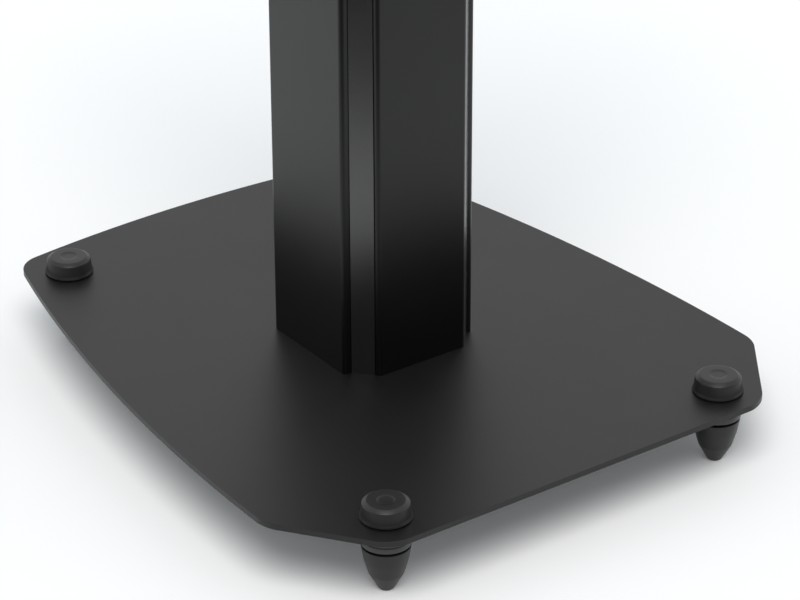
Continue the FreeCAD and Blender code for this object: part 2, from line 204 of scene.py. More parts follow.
@named
class StandFootSizes(PropertyGroup):
    collar: length("Radius of the grooved collar", 0.0124)
    collar_height: length("Collar below the base plate", 0.0102)
    groove: length("Width of a groove in the collar", 0.0009)
    groove_depth: length("Depth of a groove in the collar", 0.00035)
    upper_groove: length("First groove below the base plate", 0.0053)
    lower_groove: length("Second groove below the base plate", 0.0070)
    neck: length("Radius of the collar's neck", 0.006)
    neck_rise: length("Neck above the base plate", 0.005)
    bore: length("Radius of the collar's bore", 0.00406)
    nut_flats: length("Width of the nut across its flats", 0.016)
    nut_height: length("Height of the nut", 0.004)
    thread: length("Outer radius of the spike's thread", 0.004)
    pitch: length("Rise of the thread in one turn", 0.00125)
    spike_point: length("Radius of the spike's blunt point", 0.0008)
    spike_rim: length("Rim below the spike's shoulder", 0.0008)
    spike_root: length("Radius of the shank at the shoulder", 0.0032)
    spike_crown: length("Radius of the spike's upper end", 0.0031)
    spike_key: length("Width of the spike's socket", 0.004)
    spike_key_depth: length("Depth of the spike's socket", 0.005)
    gap: length("Gap between pieces that slide or turn", 0.0003)
    boot: length("Radius of the boot's top", 0.012)
    boot_mid: length("Radius between the boot's top and waist", 0.0107)
    boot_waist: length("Radius where the boot's taper steepens", 0.0086)
    boot_waist_level: length("Height of the boot's waist", 0.0092)
    boot_tip: length("Radius of the boot's blunt tip", 0.0035)
    boot_land: length("Radius of the raised ring on the boot", 0.0095)
    boot_land_height: length("Height of that ring", 0.0011)
    boot_wall: length("Thickness of the boot's wall", 0.0026)
    cap: length("Radius of the cap's lip", 0.01285)
    cap_foot: length("Radius of the cap's wall at its foot", 0.0122)
    cap_shoulder: length("Radius of the cap's shoulder", 0.0115)
    cap_top: length("Radius of the cap's top", 0.0093)
    cap_lip: length("Height of the cap's lip", 0.0012)
    cap_undercut: length("Narrowing of the lip down to the plate", 0.0009)
    cap_shoulder_level: length("Height of the cap's shoulder", 0.0078)
    cap_height: length("Height of the cap", 0.0092)
    cap_dimple: length("Radius of the dimple in the cap", 0.0045)
    cap_dimple_depth: length("Depth of that dimple", 0.00035)
    cap_roof: length("Thickness of the cap above the nut", 0.0034)
    pad: length("Radius of the pads on the top plate", 0.007)
    pad_height: length("Height of those pads", 0.0025)
    steps: count("Faces round each turned piece", 72, 24, 144)


@named
class StandFinishes(PropertyGroup):
    plate: tone("Satin powder coat of both plates", (0.0032, 0.0032, 0.0033))
    plate_rough: amount("Roughness of the plates' coat", 0.44)
    plate_shine: amount("Specular level of the plates' coat", 0.42)
    panel: tone("Smooth satin coat of the face panels", (0.0006, 0.0006, 0.0007))
    panel_rough: amount("Roughness of the panels' coat", 0.33)
    panel_shine: amount("Specular level of the panels' coat", 0.405)
    core: tone("Fine-textured coat of the column core", (0.001, 0.001, 0.001))
    core_rough: amount("Roughness of the core's coat", 0.26)
    core_shine: amount("Specular level of the core's coat", 1.0)
    core_index: amount("Refractive index of the core's coat", 1.60, 3.0)
    rubber: tone("Rubber of boots, caps, pads and grommets", (0.014, 0.014, 0.014))
    rubber_rough: amount("Roughness of the rubber", 0.42)
    rubber_shine: amount("Specular level of the rubber", 0.36)
    collar: tone("Blackened steel of the collars", (0.026, 0.026, 0.027))
    collar_rough: amount("Roughness of the collars", 0.36)
    spike: tone("Zinc-plated steel of the spikes", (0.56, 0.57, 0.58))
    spike_rough: amount("Roughness of the spikes", 0.28)
    screw: tone("Black-oxide steel of the fasteners", (0.075, 0.075, 0.078))
    screw_rough: amount("Roughness of the fasteners", 0.34)
    grain: length("Size of the powder coat's grain", 0.00055)
    grain_height: length("Height of the powder coat's grain", 0.000012)
    dust: amount("Dust settled on upward faces", 0.012)


@named
class StandStudio(PropertyGroup):
    camera_place: position("Place of the camera", (-0.8390, -1.1961, 0.8291))
    turn: angle("Camera's turn about the upright axis", -35.645)
    rise: angle("Camera's height angle above the horizon", 27.936)
    roll: angle("Camera's roll about its own axis", -0.177)
    lens: amount("Focal length in millimetres", 145.195, 500.0)
    sensor: amount("Sensor width in millimetres", 36.0, 100.0)
    floor_size: length("Width of the floor", 12.0)
    floor: tone("Pale floor", (0.91, 0.91, 0.91))
    floor_lift: amount("Glow of the floor where it is seen", 0.05)
    far_lift: amount("Further glow one metre behind the stand", 0.24)
    # painted shade: where the floor's colour in reflections is painted dark, and how softly it changes
    painted_shade_edge: length("Where the floor's reflection darkens, towards the camera", 0.42)
    painted_shade_blur: length("Width of that change", 0.07)
    sky: tone("Light from the backdrop", (0.90, 0.96, 1.0))
    sky_light: amount("Strength of the backdrop's light", 0.62, 10.0)
    dark_side: amount("Loss of reflections of the room behind the camera", 0.8)
    lamp_power: amount("Power of the soft lamp in watts", 113.0, 1000.0)
    lamp_tone: tone("Colour of the lamp's light", (1.0, 0.97, 0.95))
    lamp_size: length("Width of the lamp", 2.75)
    lamp_place: position("Middle of the lamp", (-1.30, -1.81, 3.56))
    lamp_aim: position("Point that the lamp faces", (0.0, 0.0, 0.1))


# --- building with bmesh

def verts_of(parts):
    """The vertices among some parts of a mesh."""
    return [part for part in parts if isinstance(part, bmesh.types.BMVert)]


def vert_near(bm, point):
    return min(bm.verts, key=lambda vert: (vert.co - point).length_squared)


def ring_at(bm, radius, level, about=ORIGIN):
    """The vertices of a round rim at one radius and level."""
    return [vert for vert in bm.verts
            if abs(vert.co.z - level) < MERGE
            and abs((vert.co.xy - about.xy).length - radius) < MERGE * 10]


def rim_between(verts):
    """The edges whose two ends are both among some vertices."""
    chosen = set(verts)
    return [edge for edge in {e for v in chosen for e in v.link_edges}
            if edge.verts[0] in chosen and edge.verts[1] in chosen]


def level_edges(bm):
    """The edges whose two ends are at one level."""
    return [edge for edge in bm.edges if abs(edge.verts[0].co.z - edge.verts[1].co.z) < MERGE]


def chain(bm, points, closed=False):
    """Vertices at the points, joined in order by edges."""
    verts = [bmesh.ops.create_vert(bm, co=point)["vert"][0] for point in points]
    pairs = list(zip(verts, verts[1:]))
    if closed:
        pairs.append((verts[-1], verts[0]))
    for pair in pairs:
        bm.edges.new(pair)
    return verts


def round_off(bm, vert, radius, segments):
    """Rounds one corner of a chain of edges to a radius."""
    ways = [(edge.other_vert(vert).co - vert.co).normalized() for edge in vert.link_edges]
    turn = math.pi - ways[0].angle(ways[1])
    bmesh.ops.bevel(bm, geom=[vert], offset=radius * math.tan(turn / 2), segments=segments,
                    profile=0.5, affect="VERTICES", material=-1, clamp_overlap=True)


def rounded_chain(bm, corners, closed=True):
    """A chain through corners of (point, radius, segments)."""
    verts = chain(bm, [corner[0] for corner in corners], closed)
    for vert, (point, radius, segments) in zip(verts, corners):
        if radius:
            round_off(bm, vert, radius, segments)


def soften(bm, edges, offset, segments):
    """Rounds edges of a solid."""
    bmesh.ops.bevel(bm, geom=edges, offset=offset, segments=segments, profile=0.5,
                    affect="EDGES", material=-1, clamp_overlap=True)


def heal(bm):
    """Merges doubles and points every face outwards."""
    bmesh.ops.remove_doubles(bm, verts=bm.verts, dist=MERGE)
    bmesh.ops.recalc_face_normals(bm, faces=bm.faces)


def lathe(bm, outline, steps, closed=False):
    """Turns an outline of (radius, level, rounding in TENTHs) about the upright axis."""
    rounded_chain(bm, [((radius, 0.0, level), rounding * TENTH, 4)
                       for radius, level, rounding in outline], closed)
    bmesh.ops.spin(bm, geom=bm.verts[:] + bm.edges[:], cent=(0, 0, 0), axis=UP, dvec=(0, 0, 0),
                   angle=math.tau, steps=steps, use_merge=True)
    heal(bm)


def extrude_faces(bm, parts, vec):
    """Gives a flat sheet its thickness; edges among the parts let their old faces go."""
    made = bmesh.ops.extrude_face_region(bm, geom=parts)
    bmesh.ops.translate(bm, verts=verts_of(made["geom"]), vec=vec)
    heal(bm)


def next_rim(bm, rim, vec, share=(1.0, 1.0, 1.0)):
    """A further rim of vertices, extruded from one, scaled about the origin and moved."""
    made = verts_of(bmesh.ops.extrude_edge_only(bm, edges=rim_between(rim))["geom"])
    bmesh.ops.scale(bm, verts=made, vec=share)
    bmesh.ops.translate(bm, verts=made, vec=vec)
    return made


def to_hexagon(verts, across_flats):
    """Moves vertices about the upright axis out or in to a hexagon."""
    for vert in verts:
        around = math.atan2(vert.co.y, vert.co.x) % math.radians(60) - math.radians(30)
        vert.co.xy *= across_flats / 2 / math.cos(around) / vert.co.xy.length


def key_socket(bm, mouth, across_flats, rise):
    """A hexagon socket from an open rim of vertices to its floor, up or down."""
    to_hexagon(mouth, across_flats)
    floor = next_rim(bm, mouth, UP * rise)
    bmesh.ops.contextual_create(bm, geom=rim_between(floor))
    heal(bm)


def placed(bm, vec):
    bmesh.ops.translate(bm, verts=bm.verts[:], vec=vec)


def new_mesh(name, bm):
    """A mesh from a bmesh, which is used up."""
    mesh = bpy.data.meshes.new(name)
    bm.to_mesh(mesh)
    bm.free()
    return mesh


def new_object(name, data):
    made = bpy.data.objects.new(name, data)
    bpy.context.scene.collection.objects.link(made)
    return made


def add_to(whole, one, vec):
    """Adds one finished shape to a set of shapes, at its place."""
    placed(one, vec)
    mesh = new_mesh("part_of_set", one)
    whole.from_mesh(mesh)
    bpy.data.meshes.remove(mesh)


def finish_piece(bm, name, body, node, slot, axes=(), even=False):
    """Makes the piece from a bmesh, with its finish, its body and the CAD node it replaces."""
    mesh = new_mesh(name, bm)
    if axes:
        about = mesh.attributes.new("about_axis", "FLOAT_VECTOR", "POINT")
        for vert, value in zip(mesh.vertices, about.data):
            axis = min(axes, key=lambda place: (place.xy - vert.co.xy).length_squared)
            value.vector = vert.co - axis
    mesh.polygons.foreach_set("use_smooth", [True] * len(mesh.polygons))
    mesh.set_sharp_from_angle(angle=SHARP)
    mesh.materials.append(get_finish(FINISH_OF_SLOT[slot]))
    piece = new_object(name, mesh)
    if even:
        piece.modifiers.new("Even Shading", "WEIGHTED_NORMAL").keep_sharp = True
    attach(piece, body)
    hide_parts(node)
    return piece


# --- finishes

def feed(tree, target, value):
    """Links a node's output to an input, or sets the input's own value."""
    if isinstance(value, bpy.types.NodeSocket):
        tree.links.new(value, target)
    else:
        target.default_value = value


def add_node(tree, kind, inputs=None, **values):
    """A node with its properties set and its inputs fed."""
    made = tree.nodes.new(kind)
    for key, value in values.items():
        setattr(made, key, value)
    for key, value in (inputs or {}).items():
        feed(tree, made.inputs[key], value)
    return made


def math_node(operation, tree, *values, clamp=False):
    made = add_node(tree, "ShaderNodeMath", dict(enumerate(values)), operation=operation, use_clamp=clamp)
    return made.outputs[0]


plus = partial(math_node, "ADD")
minus = partial(math_node, "SUBTRACT")
times = partial(math_node, "MULTIPLY")
power = partial(math_node, "POWER")
larger = partial(math_node, "MAXIMUM")


def split(tree, vector):
    return add_node(tree, "ShaderNodeSeparateXYZ", {"Vector": vector}).outputs


def map_range(tree, value, source=(0.0, 1.0), target=(0.0, 1.0), way="LINEAR"):
    """Maps a value from one range to another, and holds it between the ends."""
    made = add_node(tree, "ShaderNodeMapRange", {
        "Value": value, "From Min": source[0], "From Max": source[1],
        "To Min": target[0], "To Max": target[1]}, interpolation_type=way)
    return made.outputs["Result"]


def noise(tree, vector, scale, detail=2.0, rough=0.5):
    made = add_node(tree, "ShaderNodeTexNoise", {
        "Vector": vector, "Scale": scale, "Detail": detail, "Roughness": rough})
    return made.outputs["Fac"]


def mix_colour(tree, factor, first, second):
    made = add_node(tree, "ShaderNodeMix", {"Factor": factor}, data_type="RGBA")
    ends = [slot for slot in made.inputs if slot.type == "RGBA"]
    feed(tree, ends[0], first)
    feed(tree, ends[1], second)
    return [slot for slot in made.outputs if slot.type == "RGBA"][0]


def group(name, inputs, output):
    """A shader group; an input is a number where it has a default, and a vector elsewhere."""
    tree = bpy.data.node_groups.new(name, "ShaderNodeTree")
    for label, default in inputs.items():
        kind = "NodeSocketVector" if default is None else "NodeSocketFloat"
        made = tree.interface.new_socket(name=label, in_out="INPUT", socket_type=kind)
        if default is not None:
            made.default_value = default
    tree.interface.new_socket(name=output, in_out="OUTPUT", socket_type="NodeSocketFloat")
    given = add_node(tree, "NodeGroupInput").outputs
    return tree, given, add_node(tree, "NodeGroupOutput").inputs[output]


def coat_grain_group():
    """The pebbled height of a powder coat or a moulded skin."""
    tree, given, end = group("Coat Grain", {"Vector": None, "Grain Size": 0.0006}, "Height")
    scale = math_node("DIVIDE", tree, 1.0, given["Grain Size"])
    pebbles = add_node(tree, "ShaderNodeTexVoronoi", {
        "Vector": given["Vector"], "Scale": scale, "Smoothness": 1.0}, feature="SMOOTH_F1")
    waves = noise(tree, given["Vector"], times(tree, scale, 0.45))
    height = plus(tree, minus(tree, 1.0, pebbles.outputs["Distance"]), waves)
    tree.links.new(times(tree, height, 0.5), end)


def tone_drift_group():
    """Slow unevenness of a finish, from 0 to 1 about a half."""
    tree, given, end = group("Tone Drift", {"Vector": None, "Patches": 9.0}, "Drift")
    slow = noise(tree, given["Vector"], given["Patches"], 3.0, 0.55)
    quick = noise(tree, given["Vector"], times(tree, given["Patches"], 7.0))
    tree.links.new(plus(tree, times(tree, slow, 0.7), times(tree, quick, 0.3)), end)


def settled_dust_group():
    """Fine specks and a thin film on faces that look up, as a mask."""
    tree, given, end = group("Settled Dust", {"Vector": None, "Normal": None, "Amount": 0.1}, "Mask")
    vector = given["Vector"]
    specks = add_node(tree, "ShaderNodeTexVoronoi", {"Vector": vector, "Scale": 160.0}, feature="F1")
    size = map_range(tree, specks.outputs["Distance"], (0.05, 0.02))
    sparse = math_node("GREATER_THAN", tree, noise(tree, vector, 60.0), 0.56)
    dots = times(tree, size, sparse)
    film = times(tree, noise(tree, vector, 14.0, 6.0, 0.6), 0.35)
    together = plus(tree, dots, film, clamp=True)
    upward = larger(tree, split(tree, given["Normal"])["Z"], 0.0)
    mask = times(tree, together, power(tree, upward, 3.0))
    tree.links.new(times(tree, mask, given["Amount"], clamp=True), end)


def turning_lines_group():
    """Fine rings left by a lathe tool, from a vector about the piece's own axis."""
    tree, given, end = group("Turning Lines", {"About Axis": None, "Lines": 4000.0}, "Height")
    parts = split(tree, given["About Axis"])
    squares = [power(tree, parts[axis], 2.0) for axis in "XY"]
    across = math_node("SQRT", tree, plus(tree, *squares))
    along = plus(tree, across, parts["Z"])
    rings = add_node(tree, "ShaderNodeTexNoise", {
        "W": times(tree, along, given["Lines"]), "Detail": 2.0}, noise_dimensions="1D")
    tree.links.new(rings.outputs["Fac"], end)


class Finish:
    """A material with its Principled BSDF, and ways to wire the shared groups to it."""

    def __init__(self, name, colour, rough, shine=0.5, metallic=0.0, index=1.5):
        self.material = bpy.data.materials.new(name)
        self.material.use_nodes = True
        self.tree = self.material.node_tree
        self.shader = self.tree.nodes["Principled BSDF"]
        self.colour = tuple(colour) + (1.0,)
        self.rough = rough
        self.place = add_node(self.tree, "ShaderNodeTexCoord").outputs["Object"]
        self.wire({"Base Color": self.colour, "Roughness": rough, "Metallic": metallic,
                   "Specular IOR Level": shine, "IOR": index})

    def wire(self, values):
        """Feeds sockets of the shader."""
        for label, value in values.items():
            feed(self.tree, self.shader.inputs[label], value)

    def use(self, name, inputs):
        """What a shared group puts out for some inputs."""
        tree = bpy.data.node_groups[name]
        return add_node(self.tree, "ShaderNodeGroup", inputs, node_tree=tree).outputs[0]

    def shade(self, share):
        """The finish's own colour, lighter or darker."""
        return tuple(min(1.0, part * share) for part in self.colour[:3]) + (1.0,)

    def uneven(self, patches, darker, lighter, spread):
        """Lets the roughness drift by a spread, and gives a colour between two shades."""
        drift = self.use("Tone Drift", {"Vector": self.place, "Patches": patches})
        ends = (self.rough - spread, self.rough + spread)
        self.wire({"Roughness": map_range(self.tree, drift, target=ends)})
        return mix_colour(self.tree, map_range(self.tree, drift, DRIFT_ENDS),
                          self.shade(darker), self.shade(lighter))

    def dusted(self, base, dust):
        """A colour under an amount of settled dust."""
        normal = add_node(self.tree, "ShaderNodeNewGeometry").outputs["Normal"]
        settled = self.use("Settled Dust", {"Vector": self.place, "Normal": normal, "Amount": dust})
        return mix_colour(self.tree, settled, base, DUST_COLOUR)

    def bump(self, height, distance, strength):
        bump = add_node(self.tree, "ShaderNodeBump", {
            "Distance": distance, "Strength": strength, "Height": height})
        self.wire({"Normal": bump.outputs["Normal"]})


def grained_skin(finish, grain, height, strength, patches, drift, spread, dust):
    """Powder coat or moulded rubber: grain, slow unevenness and settled dust."""
    base = finish.uneven(patches, 1 - drift, 1 + drift, spread)
    if dust:
        base = finish.dusted(base, dust)
    finish.wire({"Base Color": base})
    coat = finish.use("Coat Grain", {"Vector": finish.place, "Grain Size": grain})
    finish.bump(coat, height, strength)


def turned_steel(finish, lines):
    """Turned steel: tool rings and slow tarnish."""
    finish.wire({"Base Color": finish.uneven(patches=90.0, darker=0.78, lighter=1.15, spread=0.09)})
    about = add_node(finish.tree, "ShaderNodeAttribute", attribute_name="about_axis")
    rings = finish.use("Turning Lines", {"About Axis": about.outputs["Vector"], "Lines": lines})
    finish.bump(rings, distance=0.000012, strength=0.7)


def get_finish(name):
    """A finish that the first operator has made."""
    material = bpy.data.materials.get(name)
    if material is None:
        raise RuntimeError("The finish " + name + " isn't made yet")
    return material


# --- shapes

def bowed_outline(bm, sizes):
    """The base plate's outline: straight front, clipped corners, bowed sides and rear edge."""
    half_width, half_depth = sizes.width / 2, sizes.depth / 2
    side_centre = Vector((half_width - sizes.side_radius, sizes.widest_from_front - half_depth, 0.0))
    rear_centre = Vector((0.0, half_depth - sizes.rear_radius, 0.0))
    start = math.asin((sizes.clip_y - half_depth - side_centre.y) / sizes.side_radius)
    clip_end = side_centre + Vector((math.cos(start), math.sin(start), 0.0)) * sizes.side_radius
    crossings = intersect_sphere_sphere_2d(side_centre.xy, sizes.side_radius,
                                           rear_centre.xy, sizes.rear_radius)
    rear_end = max(crossings, key=lambda point: point.y).to_3d()
    side_turn = math.atan2(*(rear_end - side_centre).yx) - start
    rear_turn = math.pi / 2 - math.atan2(*(rear_end - rear_centre).yx)
    front_end = Vector((half_width - sizes.clip_x, -half_depth, 0.0))

    chain(bm, [front_end, clip_end])
    last = [vert_near(bm, clip_end)]
    for centre, turn, steps in ((side_centre, side_turn, SIDE_STEPS),
                                (rear_centre, rear_turn, REAR_STEPS)):
        made = bmesh.ops.spin(bm, geom=last, cent=centre, axis=UP, dvec=(0, 0, 0), angle=turn, steps=steps)
        last = verts_of(made["geom_last"])
    bmesh.ops.mirror(bm, geom=bm.verts[:] + bm.edges[:], merge_dist=MERGE, axis="X")
    bmesh.ops.remove_doubles(bm, verts=bm.verts, dist=MERGE * 10)
    other_front = Vector((-front_end.x, front_end.y, 0.0))
    bm.edges.new((vert_near(bm, front_end), vert_near(bm, other_front)))
    for point, radius in ((front_end, sizes.front_corner), (clip_end, sizes.front_corner),
                          (rear_end, sizes.rear_corner)):
        for side in (1, -1):
            corner = vert_near(bm, Vector((point.x * side, point.y, 0.0)))
            round_off(bm, corner, radius, segments=8)


def make_plate(bm, sizes, share, layers, holes):
    """A bowed plate of layers, with rounded outer rims and holes of (place, radius)."""
    bowed_outline(bm, sizes)
    bmesh.ops.scale(bm, verts=bm.verts[:], vec=(share, share, 1.0))
    outer = {tuple(round(part, 5) for part in vert.co.xy) for vert in bm.verts}
    for place, radius in holes:
        bmesh.ops.create_circle(bm, cap_ends=False, radius=radius, segments=HOLE_STEPS,
                                matrix=Matrix.Translation((place.x, place.y, 0.0)))
    bmesh.ops.triangle_fill(bm, use_beauty=True, use_dissolve=False, edges=bm.edges[:])
    level = 0.0
    for rise in layers:
        top = [face for face in bm.faces if all(abs(vert.co.z - level) < MERGE for vert in face.verts)]
        inside = list({edge for face in top for edge in face.edges}) if level else []
        extrude_faces(bm, top + inside, UP * rise)
        level += rise
    rim = [edge for edge in level_edges(bm) if edge.calc_face_angle(0.0) > RIM_TURN
           and tuple(round(part, 5) for part in edge.verts[0].co.xy) in outer]
    soften(bm, rim, sizes.ease, 3)


def screw_places():
    """Where the plate screws stand: the middles of the base screws' four heads."""
    low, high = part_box("base_screws")
    head = bpy.context.scene.stand_screws.head
    return [Vector((x, y, 0.0)) for x in (low[0] + head, high[0] - head)
            for y in (low[1] + head, high[1] - head)]


def make_face_panel(turn, half_span, half_across, sizes):
    """A face panel with rounded edges, lips and hooks, made facing +X and turned to its side."""
    back = half_across - sizes.lip
    hook_top = back + sizes.hook_height
    inner_half = half_span - sizes.panel
    tip = inner_half - sizes.hook
    half = [
        (half_across, half_span, sizes.round, 6),
        (back, half_span, TINY_EDGE, 2),
        (back, tip, TINY_EDGE, 2),
        (hook_top, tip, TINY_EDGE, 2),
        (hook_top, inner_half, 0.0, 0),
        (half_across - sizes.panel, inner_half, sizes.hook / 2, 2),
    ]
    section = half + [(x, -y, *rounding) for x, y, *rounding in reversed(half)]
    bm = bmesh.new()
    rounded_chain(bm, [((x, y, 0.0), *rounding) for x, y, *rounding in section])
    bmesh.ops.contextual_create(bm, geom=bm.edges[:])
    extrude_faces(bm, bm.faces[:], UP * (COLUMN_TOP - BASE_TOP))
    soften(bm, level_edges(bm), TINY_EDGE, 1)
    bmesh.ops.rotate(bm, verts=bm.verts[:], cent=ORIGIN, matrix=Matrix.Rotation(turn, 3, "Z"))
    placed(bm, COLUMN_MIDDLE + UP * BASE_TOP)
    return bm


def outlet_loop(bm, sizes, grow, y):
    """The vertices of a cable outlet's rounded rim, grown outwards, in a plane of constant Y."""
    before = set(bm.verts)
    x, z = sizes.outlet_width / 2 + grow, sizes.outlet_height / 2 + grow
    rounded_chain(bm, [((x * side, y, z * up), sizes.outlet_round + grow, 5)
                       for side, up in ((1, 1), (-1, 1), (-1, -1), (1, -1))])
    return [vert for vert in bm.verts if vert not in before]


def cut_outlets(piece, sizes):
    """Cuts the cable outlets out of the rear panel, and keeps the result as its mesh."""
    bm = bmesh.new()
    start = COLUMN_MIDDLE.y + COLUMN_DEPTH / 2 - sizes.panel * 2
    for node in GROMMETS:
        loop = outlet_loop(bm, sizes, 0.0, start)
        bmesh.ops.translate(bm, verts=loop, vec=UP * middle_level(node))
        made = bmesh.ops.contextual_create(bm, geom=rim_between(loop))
        extrude_faces(bm, made["faces"], (0.0, sizes.panel * 3, 0.0))
    cutter = new_object("outlet_cutter", new_mesh("outlet_cutter", bm))
    cut = piece.modifiers.new("Outlets", "BOOLEAN")
    cut.operation = "DIFFERENCE"
    cut.solver = "EXACT"
    cut.object = cutter
    bpy.context.view_layer.update()
    ready = piece.evaluated_get(bpy.context.evaluated_depsgraph_get())
    used = (piece.data, cutter.data)
    piece.data = bpy.data.meshes.new_from_object(ready)
    piece.data.name = piece.name
    piece.modifiers.clear()
    bpy.data.objects.remove(cutter)
    for mesh in used:
        bpy.data.meshes.remove(mesh)


def make_grommet(bm, level, sizes):
    """A rubber grommet: its rim extruded through each point of one section, round the outlet."""
    wall, flange = -sizes.grommet_wall, sizes.grommet_flange
    face = COLUMN_MIDDLE.y + COLUMN_DEPTH / 2
    back = face - sizes.panel
    outer, inner = face + sizes.grommet_face, back - sizes.grommet_back
    section = [(wall, inner), (wall, outer), (flange, outer), (flange, face), (0.0, face),
               (0.0, back), (flange, back), (flange, inner)]
    corner_x = sizes.outlet_width / 2 - sizes.outlet_round
    corner_z = sizes.outlet_height / 2 - sizes.outlet_round
    grow, y = section[0]
    rims = [outlet_loop(bm, sizes, grow, y)]
    for next_grow, next_y in section[1:] + section[:1]:
        rim = next_rim(bm, rims[-1], (0.0, next_y - y, 0.0))
        share = (sizes.outlet_round + next_grow) / (sizes.outlet_round + grow)
        for side, up in ((1, 1), (1, -1), (-1, 1), (-1, -1)):
            corner = [vert for vert in rim if vert.co.x * side > 0 and vert.co.z * up > 0]
            bmesh.ops.scale(bm, verts=corner, vec=(share, 1.0, share),
                            space=Matrix.Translation((-side * corner_x, 0.0, -up * corner_z)))
        rims.append(rim)
        grow, y = next_grow, next_y
    heal(bm)
    soften(bm, rim_between(rims[1]) + rim_between(rims[2]), sizes.grommet_face * 0.4, 3)
    placed(bm, UP * level)


def threaded_rod(bm, radius, pitch, low, high, crown):
    """A rod with a helical thread, closed below and left with an open round crown above."""
    root = radius - pitch * THREAD_DEPTH
    turns = math.ceil((high - low) / pitch) + 2
    chain(bm, [(radius if crest else root, 0.0, low + pitch * share) for crest, share in THREAD])
    bmesh.ops.spin(bm, geom=bm.verts[:] + bm.edges[:], cent=(0, 0, 0), axis=UP,
                   dvec=(0, 0, pitch / SCREW_STEPS), angle=math.tau * turns,
                   steps=SCREW_STEPS * turns)
    bmesh.ops.remove_doubles(bm, verts=bm.verts, dist=MERGE * 5)
    rims = []
    for level, way in ((low, -1.0), (high, 1.0)):
        cut = bmesh.ops.bisect_plane(bm, geom=bm.verts[:] + bm.edges[:] + bm.faces[:],
                                     dist=MERGE, plane_co=(0, 0, level), plane_no=(0, 0, way),
                                     clear_outer=True)
        rims.append([part for part in cut["geom_cut"] if isinstance(part, bmesh.types.BMEdge)])
        if way < 0:
            bmesh.ops.edgeloop_fill(bm, edges=rims[0])
    mouth = bmesh.ops.create_circle(bm, cap_ends=False, radius=crown, segments=SCREW_STEPS,
                                    matrix=Matrix.Translation((0.0, 0.0, high)))["verts"]
    bmesh.ops.triangle_fill(bm, use_beauty=True, use_dissolve=False, edges=rims[1] + rim_between(mouth))
    return mouth


def make_nut(bm, sizes):
    """A hexagon nut with the chamfer that leaves arched edges on its flats."""
    low, high = BASE_TOP, BASE_TOP + sizes.nut_height
    inner = sizes.neck + TENTH / 2
    flat = sizes.nut_flats / 2 * NUT_FACE
    outer = sizes.nut_flats / math.sqrt(3)
    lathe(bm, [(inner, low, 0), (flat, low, 0), (outer, low + TENTH, 0),
               (outer, high - TENTH, 0), (flat, high, 0), (inner, high, 0)],
          SCREW_STEPS, closed=True)
    for end, way in ((low, 1.0), (high, -1.0)):
        rim = ring_at(bm, outer, end + TENTH * way)
        to_hexagon(rim, sizes.nut_flats)
        for vert in rim:
            vert.co.z = end + way * (vert.co.xy.length - flat) * math.tan(NUT_CHAMFER)


def make_collar(bm, sizes):
    """The grooved collar with its neck through the base plate."""
    low = BASE_BOTTOM - sizes.collar_height
    neck_top = BASE_TOP + sizes.neck_rise
    outline = [(sizes.bore, low, 2), (sizes.collar, low, 4)]
    for below in (sizes.lower_groove, sizes.upper_groove):
        middle = BASE_BOTTOM - below
        outline += [(sizes.collar, middle - sizes.groove / 2, 0.8),
                    (sizes.collar - sizes.groove_depth, middle, 2),
                    (sizes.collar, middle + sizes.groove / 2, 0.8)]
    outline += [(sizes.collar, BASE_BOTTOM, 3), (sizes.neck, BASE_BOTTOM, 0),
                (sizes.neck, neck_top, 5), (sizes.bore, neck_top, 3)]
    lathe(bm, outline, sizes.steps, closed=True)


def boot_levels(sizes):
    """Levels of the boot's raised ring and top, and of the spike's shoulder inside it."""
    land_top = BASE_BOTTOM - sizes.collar_height - sizes.gap
    boot_top = land_top - sizes.boot_land_height
    return land_top, boot_top, boot_top - sizes.boot_wall / 2 - sizes.gap


def make_spike(bm, sizes):
    """A steel spike: cone, shoulder, threaded shank and a hexagon socket."""
    shoulder = boot_levels(sizes)[2]
    low, high = (level_of("foot_spike_front_left", end) for end in (0, 1))
    reach = sizes.boot - sizes.boot_wall - sizes.gap
    root, root_top = sizes.spike_root, shoulder + 12 * TENTH
    lathe(bm, [(0.0, low, 0), (sizes.spike_point, low, 4),
               (reach, shoulder - sizes.spike_rim, 8), (reach, shoulder, 3),
               (root, shoulder, 3), (root, root_top, 0), (0.0, root_top, 0)], sizes.steps)
    rod = bmesh.new()
    crown_height = 6 * TENTH
    mouth = 25 * TENTH / sizes.spike_crown
    rim = threaded_rod(rod, sizes.thread, sizes.pitch, shoulder + 10 * TENTH,
                       high - crown_height, sizes.spike_crown)
    rim = next_rim(rod, rim, UP * crown_height)
    rim = next_rim(rod, rim, ORIGIN, (mouth, mouth, 1.0))
    key_socket(rod, rim, sizes.spike_key, -sizes.spike_key_depth)
    add_to(bm, rod, ORIGIN)


def make_boot(bm, sizes):
    """A rubber boot: swelling upper cone, steeper lower cone, blunt rounded tip."""
    land_top, boot_top, shoulder = boot_levels(sizes)
    reach = sizes.boot - sizes.boot_wall
    mouth = sizes.thread + sizes.gap * 2
    inner_tip = level_of("foot_spike_front_left", 0) - sizes.gap
    lathe(bm, [
        (0.0, 0.0, 0),
        (sizes.boot_tip, 0.0, 16),
        (sizes.boot_waist, sizes.boot_waist_level, 60),
        (sizes.boot_mid, (boot_top + sizes.boot_waist_level) / 2, 200),
        (sizes.boot, boot_top, 3),
        (sizes.boot_land, boot_top, 2),
        (sizes.boot_land, land_top, 3),
        (mouth, land_top, 3),
        (mouth, shoulder + sizes.gap, 2),
        (reach, shoulder + sizes.gap, 3),
        (reach, shoulder - sizes.spike_rim, 8),
        (sizes.spike_point + sizes.gap, inner_tip, 4),
        (0.0, inner_tip, 0),
    ], sizes.steps)


